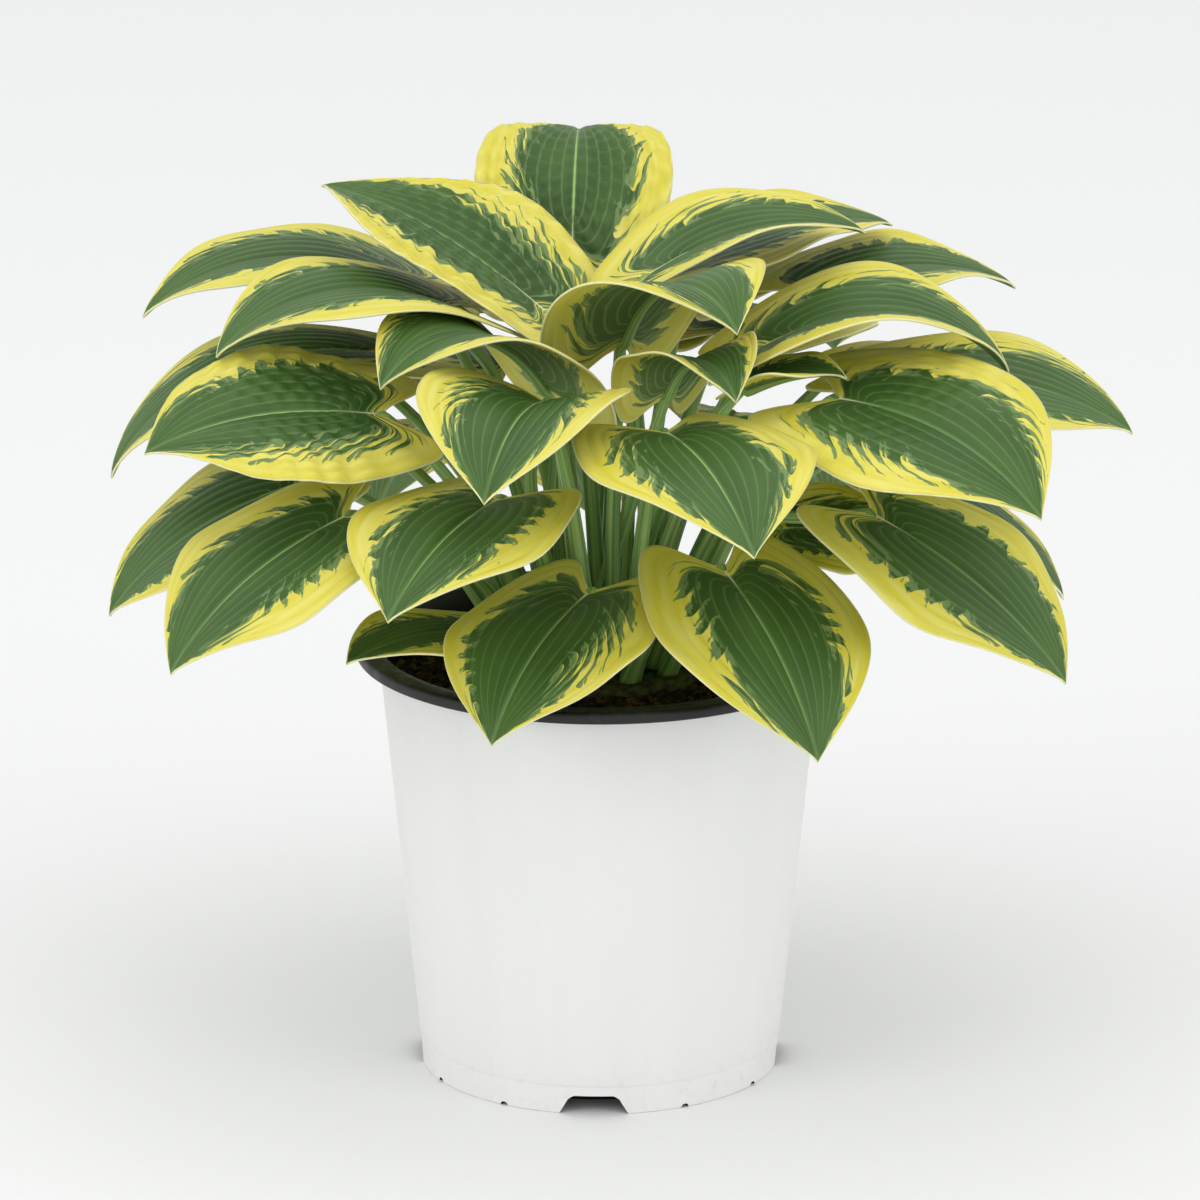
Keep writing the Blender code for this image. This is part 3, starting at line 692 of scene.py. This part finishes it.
def add_leaf(name, leaf, route, seed, materials, settings):
    """One leaf as a single piece: its thickened blade and its stalk."""
    points, faces, growth, spread = blade_mesh(leaf, seed, PUCKERED.get(name, 0.0), settings)
    blade = add_object("hosta_" + name, points, faces, materials)
    write_corners(blade.data, "growth", growth)
    write_corners(blade.data, "spread", spread)
    thicken = blade.modifiers.new("Thickness", "SOLIDIFY")
    thicken.thickness = settings.thickness
    thicken.offset = 0
    thicken.material_offset = 1
    keep_result(blade)
    points, faces, growth = stalk_mesh(leaf, route, seed)
    stalk = add_object("stalk_of_" + name, points, faces, materials, [2] * len(faces))
    write_corners(stalk.data, "growth", growth)
    write_corners(stalk.data, "spread", np.zeros((len(growth), 3)))
    joined = bmesh.new()
    joined.from_mesh(blade.data)
    joined.from_mesh(stalk.data)
    joined.to_mesh(blade.data)
    joined.free()
    bpy.data.objects.remove(stalk)
    stand_for(blade, name)


class HOSTA_OT_add_leaves(bpy.types.Operator):
    """Add every leaf with its stalk"""

    bl_idname = "hosta.add_leaves"
    bl_label = "Leaves"

    def execute(self, context):
        settings = context.scene.hosta_leaf
        materials = [
            leaf_material("waxy_leaf_upper_side_grown", settings, under=False),
            leaf_material("matt_leaf_underside_grown", settings, under=True),
            stalk_material(settings),
        ]
        names = [f"leaf_{tier}_{place + 1:02d}" for tier in LEAVES for place in range(len(LEAVES[tier]))]
        missing = sorted(set(names) - set(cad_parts))
        if missing:
            raise RuntimeError(f"the packed part has no {missing}")
        leaves = [leaf for tier in LEAVES.values() for leaf in tier]
        roots = np.vstack([stalk_roots(LEAVES[tier], ROOT_RADII[tier]) for tier in LEAVES])
        routes = spread_stalks(leaves, roots)
        for number, (name, leaf, route) in enumerate(zip(names, leaves, routes)):
            add_leaf(name, leaf, route, number + 1, materials, settings)
        return {"FINISHED"}


# Pot


def wall_radius(height):
    share = (height - FOOT_STEP_HEIGHT) / (POT_HEIGHT - FOOT_STEP_HEIGHT)
    return POT_BASE_RADIUS + FOOT_STEP + (POT_TOP_RADIUS - POT_BASE_RADIUS - FOOT_STEP) * share


def turned_mesh(profile, sides):
    """Points and faces turned round the Z axis from an anticlockwise profile, and each face's step of it."""
    points = []
    first = []
    for radius, height in profile:
        first.append(len(points))
        for side in range(1 if radius == 0 else sides):
            turn = 2 * math.pi * side / sides
            points.append((radius * math.cos(turn), radius * math.sin(turn), height))
    faces = []
    steps = []
    for place, start in enumerate(first):
        after = (place + 1) % len(profile)
        if profile[place][0] == 0 and profile[after][0] == 0:
            continue
        for side in range(sides):
            following = (side + 1) % sides
            upper = first[after]
            ring = [start] if profile[place][0] == 0 else [start + side, start + following]
            ring += [upper] if profile[after][0] == 0 else [upper + following, upper + side]
            faces.append(ring)
            steps.append(place)
    return points, faces, steps


def pot_profile():
    """The shell's section, and the step at which it turns from the white skin to the black inside."""
    panel, foot, step, floor = BASE_PANEL_RADIUS, POT_BASE_RADIUS, FOOT_STEP_HEIGHT, FLOOR_HEIGHT
    lip, top = POT_RIM_RADIUS, POT_HEIGHT
    rim_bottom = top - RIM_DROP
    inner_lip = lip - POT_WALL
    base = [
        (0, 0),
        (panel - 0.6, 0),
        (panel, 0.4),
        (panel + 1.4, floor - 0.6),
        (panel + 2.0, floor),
        (foot - 2.6, floor),
        (foot - 2.0, floor - 0.6),
        (foot - 2.0, 0.3),
        (foot - 1.7, 0),
    ]
    skin = [
        (foot - 0.5, 0),
        (foot - 0.1, 0.2),
        (foot, 0.6),
        (foot + 0.05, step - 1.2),
        (foot + 0.15, step - 0.7),
        (wall_radius(step) - 0.15, step - 0.2),
        (wall_radius(step), step + 0.3),
        *[(wall_radius(height), height) for height in np.linspace(20, rim_bottom - 3, 12)],
    ]
    rim = [
        (wall_radius(rim_bottom) + 0.02, rim_bottom - 1.0),
        (wall_radius(rim_bottom + 3), rim_bottom + 3),
        (inner_lip - 1.5, top - POT_WALL - 0.2),
        (inner_lip, top - POT_WALL - 0.7),
        (inner_lip, rim_bottom + 0.2),
        (inner_lip + 0.3, rim_bottom),
        (lip - 0.3, rim_bottom),
        (lip, rim_bottom + 0.4),
        (lip, top - 1.5),
        (lip - 0.3, top - 0.6),
        (lip - 0.9, top - 0.1),
        (lip - 1.6, top),
        (wall_radius(top) + 1.0, top - 0.05),
        (wall_radius(top) - 0.6, top - 0.5),
        (wall_radius(top) - POT_WALL, top - 2.2),
        *[(wall_radius(height) - POT_WALL, height) for height in np.linspace(top - 8, 18, 8)],
        (wall_radius(floor) - POT_WALL - 1.5, floor + POT_WALL + 2),
        (wall_radius(floor) - POT_WALL - 4.0, floor + POT_WALL),
        (panel, floor + POT_WALL),
        (panel - 1.5, POT_WALL),
        (0, POT_WALL),
    ]
    return base, skin, rim


def cut_pot(pot, cutters):
    """Cuts the foot's notches and the drain holes."""
    for cutter in cutters:
        modifier = pot.modifiers.new("Cut", "BOOLEAN")
        modifier.operation = "DIFFERENCE"
        modifier.solver = "EXACT"
        modifier.object = cutter
    keep_result(pot)
    for cutter in cutters:
        bpy.data.objects.remove(cutter)


def turn_about_z(turn):
    return np.array([[math.cos(turn), -math.sin(turn), 0], [math.sin(turn), math.cos(turn), 0], [0, 0, 1]])


def notch_cutter(turn, top_width, bottom_width, height, materials):
    """A wedge with rounded upper corners that cuts an arch through the foot."""
    round_off = min(1.5, height / 3)
    half = [
        (bottom_width / 2, -1),
        (top_width / 2 + (bottom_width - top_width) / 2 * round_off / height, height - round_off),
        (top_width / 2 - 0.3 * round_off, height - 0.3 * round_off),
        (top_width / 2 - round_off, height),
    ]
    outline = half + [(-across, up) for across, up in reversed(half)]
    count = len(outline)
    ends = (POT_BASE_RADIUS - 5, POT_BASE_RADIUS + 5)
    points = np.array([(distance, across, up) for distance in ends for across, up in outline])
    faces = [list(reversed(range(count))), [count + place for place in range(count)]]
    for place in range(count):
        following = (place + 1) % count
        faces.append([place, following, count + following, count + place])
    points = points @ turn_about_z(math.radians(turn)).T
    return add_object("notch", points, faces, materials, [1] * len(faces), smooth=False)


def pot_wall_material(settings):
    """Polypropylene, injection moulded in white: semi-matt, with a fine spark-eroded texture.

    The eye sees soft broad highlights, faint upright flow marks and light scuffs at the foot.
    """
    material, tree, shader = start_material("white_polypropylene_moulded", IOR=1.49, Subsurface_Weight=0.1)
    shader.inputs["Subsurface Scale"].default_value = 0.002
    place = object_place(tree)
    flow_place = stretch(tree, place, (55, 55, 4))
    flow = texture_noise(tree, flow_place, 1, 3)
    height = add_node(tree, "ShaderNodeSeparateXYZ", {0: place}).outputs[2]
    low = rescale(tree, height, 0.0, 0.03, 1, 0)
    scuff_noise = texture_noise(tree, place, 220, 5, 0.7)
    scuffed = rescale(tree, scuff_noise, 0.56, 0.72, 0, 0.45)
    scuffed = calc(tree, "MULTIPLY", scuffed, low)
    streak = rescale(tree, flow, 0.3, 0.7, 0, 0.1)
    shade = calc(tree, "ADD", scuffed, streak, use_clamp=True)
    color = mix_colors(tree, shade, settings.wall, SCUFF)
    rough = rescale(tree, flow, 0.3, 0.7, 0.42, 0.5)
    tree.links.new(rough, shader.inputs["Roughness"])
    # The mould's texture is about 0.1 mm; it is drawn at 0.5 mm so that it shows.
    grain = texture_noise(tree, place, 1 / (0.5 * MM), 2)
    relief = calc(tree, "MULTIPLY_ADD", flow, 2.0, grain)
    finish_surface(tree, shader, color, 0.12, 0.08 * MM, relief)
    return material


def pot_rim_material(settings):
    """Polypropylene, moulded in black: a satin rim with dust and dried splashes of soil on the inside."""
    material, tree, shader = start_material("black_polypropylene_moulded", IOR=1.49)
    place = object_place(tree)
    dust_noise = texture_noise(tree, place, 160, 6, 0.65)
    dust = rescale(tree, dust_noise, 0.5, 0.75, 0, 0.25)
    color = mix_colors(tree, dust, settings.rim, DUST)
    rough = rescale(tree, dust_noise, 0.35, 0.7, 0.32, 0.6)
    tree.links.new(rough, shader.inputs["Roughness"])
    grain = texture_noise(tree, place, 1 / (0.5 * MM), 2)
    finish_surface(tree, shader, color, 0.15, 0.08 * MM, grain)
    return material


class HOSTA_OT_add_pot(bpy.types.Operator):
    """Add the nursery pot"""

    bl_idname = "hosta.add_pot"
    bl_label = "Pot"

    def execute(self, context):
        settings = context.scene.hosta_pot
        base, skin, rim = pot_profile()
        points, faces, steps = turned_mesh(base + skin + rim, POT_SIDES)
        white = range(len(base) - 1, len(base) + len(skin))
        materials = [pot_wall_material(settings), pot_rim_material(settings)]
        skins = [0 if step in white else 1 for step in steps]
        pot = add_object("nursery_pot", points, faces, materials, skins)
        cutters = []
        width = settings.notch_width / MM
        notch = (width, width + NOTCH_FLARE, settings.notch_height / MM)
        for index in range(4):
            turn = NOTCH_TURN + 90 * index
            cutters.append(notch_cutter(turn, *notch, materials))
            for side in SMALL_NOTCH_TURNS:
                cutters.append(notch_cutter(turn + side, *SMALL_NOTCH, materials))
        low, high = FLOOR_HEIGHT - 2, FLOOR_HEIGHT + 3
        for index in range(DRAIN_COUNT):
            turn = math.radians(360 / DRAIN_COUNT * index + DRAIN_TURN)
            hole, faces, _ = turned_mesh([(0, low), (DRAIN_RADIUS, low), (DRAIN_RADIUS, high), (0, high)], 24)
            hole = np.array(hole) + [DRAIN_RING * math.cos(turn), DRAIN_RING * math.sin(turn), 0]
            cutters.append(add_object("drain", hole, faces, materials, [1] * len(faces), smooth=False))
        cut_pot(pot, cutters)
        pot.data.shade_smooth()
        pot.data.set_sharp_from_angle(angle=math.radians(35))
        stand_for(pot, "pot")
        return {"FINISHED"}


# Soil and crown


def mottled_material(name, colors, size, detail, share, strength, height, **sockets):
    """Two colours mixed by a noise of this size in millimetres, which also makes the relief."""
    material, tree, shader = start_material(name, **sockets)
    place = object_place(tree)
    grain = texture_noise(tree, place, 1 / (size * MM), detail)
    color = mix_colors(tree, rescale(tree, grain, *share), *colors)
    finish_surface(tree, shader, color, strength, height * MM, grain)
    return material, place, color


def soil_material(settings):
    """Peat and bark potting mix, damp: crumbly and dull, with dry crumbs and flecks of bark."""
    colors = (settings.dark, settings.light)
    material, place, color = mottled_material(
        "potting_mix_crumbled", colors, 2, 6, (0.45, 0.72), 0.9, 1, Roughness=0.93, IOR=1.4
    )
    tree = material.node_tree
    shader = tree.nodes["Principled BSDF"]
    shader.inputs["Specular IOR Level"].default_value = 0.25
    # Crumbs 1.5 to 4 mm across.
    crumbs = add_node(tree, "ShaderNodeTexVoronoi", {"Vector": place, "Scale": 1 / (3 * MM)})
    pick = add_node(tree, "ShaderNodeSeparateColor", {0: crumbs.outputs["Color"]}).outputs[0]
    color = mix_colors(tree, rescale(tree, pick, 0.9, 0.93, 0, 0.7), color, settings.bark)
    tree.links.new(color, shader.inputs["Base Color"])
    return material


def soil_swell(spot):
    return noise.noise(spot / 3.1) * 0.9 + noise.noise(spot / 9) * 1.6


def soil_mesh():
    """The uneven top of the soil, and its side, which stands against the pot's wall down to the floor."""
    inner = wall_radius(SOIL_LEVEL) - POT_WALL - GAP
    radii = np.concatenate([np.linspace(0, CROWN_RADIUS, 12), np.linspace(CROWN_RADIUS, inner, 40)[1:]])
    turns = [2 * math.pi * side / SOIL_SIDES for side in range(SOIL_SIDES)]
    points = []
    for radius in radii:
        edge = -1.2 * math.exp(-(inner - radius) / 4)
        sink = -3.0 if radius < CROWN_RADIUS - 2 else 0.0
        for turn in turns:
            spot = Vector((radius * math.cos(turn), radius * math.sin(turn), 0))
            rough = soil_swell(spot) + noise.noise(spot / 1.4) * 0.4
            points.append((*spot[:2], SOIL_LEVEL - SOIL_DROP + rough + edge + sink))
    for height in (100, SOIL_BOTTOM + 1):
        radius = wall_radius(height) - POT_WALL - GAP
        points += [(radius * math.cos(turn), radius * math.sin(turn), height) for turn in turns]
    points += [(0, 0, SOIL_BOTTOM)] * SOIL_SIDES
    faces = []
    for low in range(0, len(points) - SOIL_SIDES, SOIL_SIDES):
        high = low + SOIL_SIDES
        for side in range(SOIL_SIDES):
            following = (side + 1) % SOIL_SIDES
            faces.append([low + side, high + side, high + following, low + following])
    return points, faces


def crumb_shapes(count, random, inner):
    """Loose crumbs and chips of bark, each a rough lump, as one list of points and faces."""
    ball = bmesh.new()
    bmesh.ops.create_icosphere(ball, subdivisions=2, radius=1)
    corners = np.array([corner.co for corner in ball.verts])
    shape = [[corner.index for corner in face.verts] for face in ball.faces]
    ball.free()
    points = []
    faces = []
    kinds = []
    for number in range(count):
        chip = number % 7 == 0
        radius = math.sqrt(random.uniform((CROWN_RADIUS / inner) ** 2, 1)) * (inner - 2.5)
        turn = random.uniform(0, 2 * math.pi)
        size = random.uniform(0.6, 1.9) * np.array([1.6, 0.8, 0.35] if chip else [1, 0.85, 0.7])
        spin, tilt = random.uniform(0, 2 * math.pi), random.uniform(-0.5, 0.5)
        shift = Vector((number, 0, 0))
        dents = np.array([noise.noise(Vector(corner) * 1.7 + shift) for corner in corners])
        lump = corners * (1 + 0.35 * dents)[:, None] * size
        lean = [[math.cos(tilt), 0, math.sin(tilt)], [0, 1, 0], [-math.sin(tilt), 0, math.cos(tilt)]]
        lump = lump @ np.array(lean) @ turn_about_z(spin).T
        spot = Vector((radius * math.cos(turn), radius * math.sin(turn), 0))
        level = SOIL_LEVEL - SOIL_DROP + soil_swell(spot)
        start = len(points)
        points += (lump + [spot[0], spot[1], level + 0.3]).tolist()
        faces += [[start + corner for corner in face] for face in shape]
        kinds += [1 if chip else 0] * len(shape)
    return points, faces, kinds


def bark_material(settings):
    """Pine bark chips, shredded: dull brown, with a fibrous grain about 0.8 mm across."""
    colors = (settings.bark, settings.dark)
    return mottled_material(
        "pine_bark_shredded", colors, 0.8, 4, (0.35, 0.65), 0.6, 0.4, Roughness=0.85, IOR=1.45
    )[0]


class HOSTA_OT_add_soil(bpy.types.Operator):
    """Add the potting mix with its loose crumbs"""

    bl_idname = "hosta.add_soil"
    bl_label = "Soil"

    def execute(self, context):
        settings = context.scene.hosta_soil
        random = np.random.default_rng(5)
        materials = [soil_material(settings), bark_material(settings)]
        points, faces = soil_mesh()
        kinds = [0] * len(faces)
        inner = wall_radius(SOIL_LEVEL) - POT_WALL - GAP
        lumps, lump_faces, lump_kinds = crumb_shapes(settings.crumbs, random, inner)
        start = len(points)
        points += lumps
        faces += [[start + corner for corner in face] for face in lump_faces]
        soil = add_object("potting_mix", points, faces, materials, kinds + lump_kinds)
        tidy = bmesh.new()
        tidy.from_mesh(soil.data)
        bmesh.ops.remove_doubles(tidy, verts=tidy.verts, dist=1e-6)
        bmesh.ops.recalc_face_normals(tidy, faces=tidy.faces)
        tidy.to_mesh(soil.data)
        tidy.free()
        stand_for(soil, "soil")
        return {"FINISHED"}


def crown_material():
    """A perennial's crown, grown: rough fibrous tissue, green above and earthy below."""
    colors = (CROWN_EARTH, CROWN_GREEN)
    return mottled_material(
        "fibrous_crown_grown", colors, 3, 6, (0.38, 0.62), 0.8, 0.8, Roughness=0.75, IOR=1.42
    )[0]


class HOSTA_OT_add_crown(bpy.types.Operator):
    """Add the crown that the stalks grow from"""

    bl_idname = "hosta.add_crown"
    bl_label = "Crown"

    def execute(self, context):
        bottom = CROWN_LOW[2]
        shoulder = bottom + CROWN_SHOULDER
        profile = [(0, bottom)]
        profile += [(radius, bottom) for radius in np.linspace(4, CROWN_RADIUS - 4, 10)]
        for share in np.linspace(0, 1, 6):
            profile.append((CROWN_RADIUS - share * 1.5, shoulder + share * (CROWN_TOP - shoulder)))
        profile += [(radius, CROWN_TOP) for radius in np.linspace(CROWN_RADIUS - 2.5, 2, 22)]
        profile.append((0, CROWN_TOP))
        points, faces, _ = turned_mesh(profile, CROWN_SIDES)
        points = np.array(points)
        for place, point in enumerate(points):
            spot = Vector(point.tolist())
            push = 1.6 * noise.noise(spot / 5) + 0.7 * noise.noise(spot / 2)
            points[place] += [0, 0, push - 0.8 if point[2] > CROWN_TOP - 4 else 0]
            points[place, :2] *= 1 + 0.02 * noise.noise(spot / 6)
        crown = add_object("hosta_crown", points, faces, [crown_material()])
        stand_for(crown, "crown")
        return {"FINISHED"}


# Stage

CAMERA_DISTANCE = 3.5
CAMERA_RISE = 17.2
AIM_HEIGHT = 0.1866
FRAME_WIDTH = 0.4656  # what the camera takes in at that distance, in metres
SENSOR = 36.0
# The sweep, in millimetres. Its wall stands behind every camera that looks at the plant.
SWEEP_HALF_WIDTH = 9000
SWEEP_WALL_START = 7500
SWEEP_BEND = 1500
SWEEP_HEIGHT = 6000
WORLD_STRENGTH = 0.92


def floor_material(settings):
    """A painted studio sweep, rolled: matt and even, with the faint mottle of a roller."""
    material, tree, shader = start_material("matt_paint_rolled", Roughness=0.85, IOR=1.5)
    shader.inputs["Specular IOR Level"].default_value = 0.2
    place = object_place(tree)
    mottle = texture_noise(tree, place, 90, 3)
    share = rescale(tree, mottle, 0.3, 0.7, 0, 0.25)
    color = mix_colors(tree, share, settings.floor, FLOOR_MOTTLE)
    tree.links.new(color, shader.inputs["Base Color"])
    return material


def add_area_light(name, place, aim, size, power):
    light = bpy.data.lights.new(name, "AREA")
    light.shape = "DISK"
    light.size = size
    light.energy = power
    placed = bpy.data.objects.new(name, light)
    placed.location = place
    placed.rotation_euler = (Vector(aim) - Vector(place)).to_track_quat("-Z", "Y").to_euler()
    bpy.context.scene.collection.objects.link(placed)


class HOSTA_OT_add_stage(bpy.types.Operator):
    """Add the floor, the lights and the camera"""

    bl_idname = "hosta.add_stage"
    bl_label = "Stage"

    def execute(self, context):
        settings = context.scene.hosta_stage
        scene = context.scene
        bend = [(y, 0) for y in np.linspace(-SWEEP_HALF_WIDTH, SWEEP_WALL_START, 12)]
        for turn in np.linspace(0.1, math.pi / 2, 16):
            bend.append((SWEEP_WALL_START + SWEEP_BEND * math.sin(turn), SWEEP_BEND * (1 - math.cos(turn))))
        bend.append((SWEEP_WALL_START + SWEEP_BEND, SWEEP_HEIGHT))
        points = [(x, y, z) for y, z in bend for x in (-SWEEP_HALF_WIDTH, SWEEP_HALF_WIDTH)]
        faces = [[2 * row, 2 * row + 1, 2 * row + 3, 2 * row + 2] for row in range(len(bend) - 1)]
        add_object("studio_sweep", points, faces, [floor_material(settings)])
        aim = (0, 0, AIM_HEIGHT)
        add_area_light("overhead_softbox", (0, -0.5, 2.4), aim, 2.2, settings.light * 0.8)
        add_area_light("left_softbox", (-2.2, -1.6, 1.5), aim, 1.6, settings.light * 1.2)
        add_area_light("right_softbox", (2.2, -1.6, 1.3), aim, 1.6, settings.light * 0.9)
        world = bpy.data.worlds.new("white_studio")
        world.use_nodes = True
        world.node_tree.nodes["Background"].inputs["Color"].default_value = (1, 1, 1, 1)
        world.node_tree.nodes["Background"].inputs["Strength"].default_value = WORLD_STRENGTH
        scene.world = world
        scene.view_settings.view_transform = "Standard"
        camera = bpy.data.cameras.new("camera")
        camera.lens = SENSOR * CAMERA_DISTANCE / FRAME_WIDTH
        camera.sensor_width = SENSOR
        camera.clip_end = 50
        rise = math.radians(CAMERA_RISE)
        placed = bpy.data.objects.new("camera", camera)
        height = AIM_HEIGHT + CAMERA_DISTANCE * math.sin(rise)
        placed.location = (0, -CAMERA_DISTANCE * math.cos(rise), height)
        placed.rotation_euler = (math.pi / 2 - rise, 0, 0)
        scene.collection.objects.link(placed)
        scene.camera = placed
        return {"FINISHED"}


class HOSTA_PT_panel(bpy.types.Panel):
    bl_idname = "HOSTA_PT_panel"
    bl_label = "Potted hosta"
    bl_space_type = "VIEW_3D"
    bl_region_type = "UI"
    bl_category = "Hosta"

    def draw(self, context):
        for operator, group in PIECES:
            box = self.layout.box()
            box.operator(operator.bl_idname)
            if group:
                for name in getattr(context.scene, group).__annotations__:
                    box.prop(getattr(context.scene, group), name)


GROUPS = {
    "hosta_leaf": HostaLeafSettings,
    "hosta_pot": HostaPotSettings,
    "hosta_soil": HostaSoilSettings,
    "hosta_stage": HostaStageSettings,
}
PIECES = (
    (HOSTA_OT_add_pot, "hosta_pot"),
    (HOSTA_OT_add_soil, "hosta_soil"),
    (HOSTA_OT_add_crown, None),
    (HOSTA_OT_add_leaves, "hosta_leaf"),
    (HOSTA_OT_add_stage, "hosta_stage"),
)


def register():
    for name, group in GROUPS.items():
        bpy.utils.register_class(group)
        setattr(bpy.types.Scene, name, PointerProperty(type=group))
    for operator, _ in PIECES:
        bpy.utils.register_class(operator)
    bpy.utils.register_class(HOSTA_PT_panel)


def unregister():
    bpy.utils.unregister_class(HOSTA_PT_panel)
    for operator, _ in reversed(PIECES):
        bpy.utils.unregister_class(operator)
    for name, group in reversed(GROUPS.items()):
        delattr(bpy.types.Scene, name)
        bpy.utils.unregister_class(group)


def main():
    register()
    bpy.ops.hosta.add_pot()
    bpy.ops.hosta.add_soil()
    bpy.ops.hosta.add_crown()
    bpy.ops.hosta.add_leaves()
    bpy.ops.hosta.add_stage()


if __name__ == "__main__":
    main()
